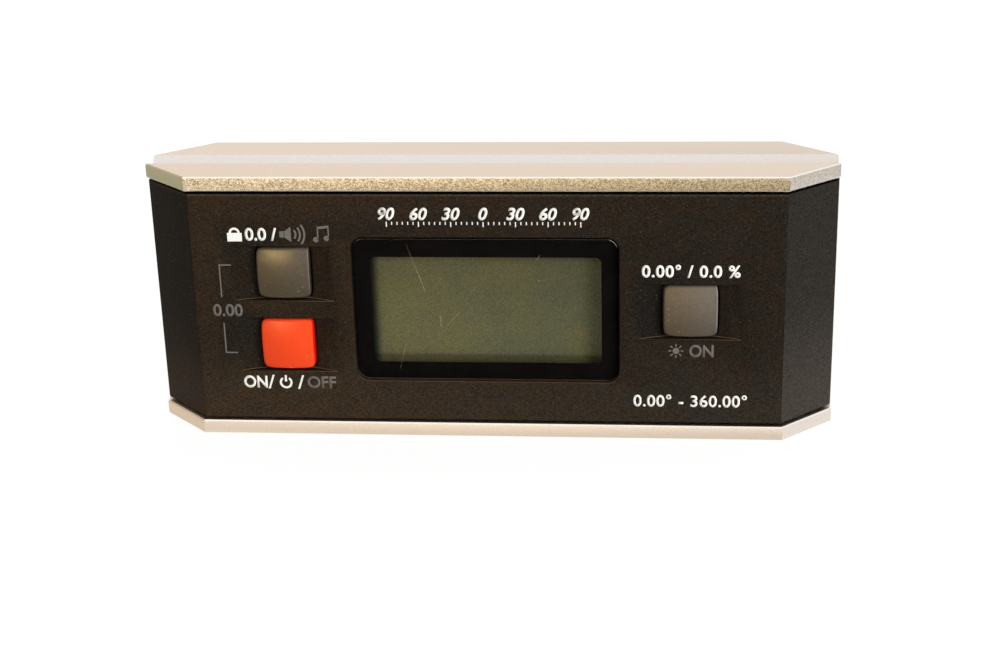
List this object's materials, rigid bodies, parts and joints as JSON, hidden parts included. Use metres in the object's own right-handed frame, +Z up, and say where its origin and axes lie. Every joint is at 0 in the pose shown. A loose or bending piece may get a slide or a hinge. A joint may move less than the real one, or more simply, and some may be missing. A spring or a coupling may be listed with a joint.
{
  "type": "digital protractor",
  "caption": "Pocket digital protractor: grooved aluminium I-frame with black shells, a display window and press buttons.",
  "frame": {"origin": "middle of the base, on the surface that it stands on", "axes": "+X along the rails to the right as seen from the display side, -Y the way the display looks, +Z up"},
  "size_m": [0.15, 0.03, 0.059],
  "materials": {
    "frame_aluminium": "bead-blasted and clear anodised",
    "shell_plastic": "fine moulded texture",
    "seal_rubber": "matt",
    "window_clear": "polished",
    "mask_ink": "printed black",
    "tape": "double-sided tape",
    "lcd_glass": "reflective panel",
    "holder_plastic": "moulded",
    "light_guide": "clear moulded guide",
    "strip_rubber": "striped contact rubber",
    "board_laminate": "solder mask",
    "chip_epoxy": "moulded epoxy",
    "sensor_can": "plated can",
    "steel": "zinc plated",
    "keypad_rubber": "silicone",
    "button_grey": "satin",
    "button_red": "satin",
    "tray_plastic": "moulded",
    "cell_jacket": "plain jacket",
    "contact_metal": "nickel plated",
    "brass": "turned"
  },
  "bodies": {
    "housing": {"frame": "frame_aluminium", "front_shell": "shell_plastic", "rear_shell": "shell_plastic", "front_gasket": "seal_rubber", "rear_gasket": "seal_rubber", "display_lens": "window_clear", "window_mask": "mask_ink", "lens_adhesive": "tape", "lcd_panel": "lcd_glass", "lcd_holder": "holder_plastic", "backlight_panel": "light_guide", "contact_strip": "strip_rubber", "main_board": "board_laminate", "board_screws": "steel", "tilt_sensor": "sensor_can", "processor_chip": "chip_epoxy", "piezo_buzzer": "chip_epoxy", "left_keypad": "keypad_rubber", "right_keypad": "keypad_rubber", "battery_tray": "tray_plastic", "battery_cells": "cell_jacket", "battery_springs": "contact_metal", "contact_plates": "contact_metal", "power_pins": "brass", "web_grommet": "tray_plastic", "battery_door": "shell_plastic", "door_gasket": "seal_rubber", "door_screws": "steel", "shell_screws": "steel"},
    "hold_key": {"hold_button": "button_grey"},
    "power_key": {"power_button": "button_red"},
    "units_key": {"units_button": "button_grey"}
  },
  "joints": [
    {"name": "hold_press", "type": "slide", "parent": "housing", "child": "hold_key", "axis": [0, 1, 0], "range_m": [0, 0.0009], "stiffness_N_per_m": 2000, "deforming": ["left_keypad"]},
    {"name": "power_press", "type": "slide", "parent": "housing", "child": "power_key", "axis": [0, 1, 0], "range_m": [0, 0.0009], "stiffness_N_per_m": 2000, "deforming": ["left_keypad"]},
    {"name": "units_press", "type": "slide", "parent": "housing", "child": "units_key", "axis": [0, 1, 0], "range_m": [0, 0.0009], "stiffness_N_per_m": 2000, "deforming": ["right_keypad"]}
  ]
}
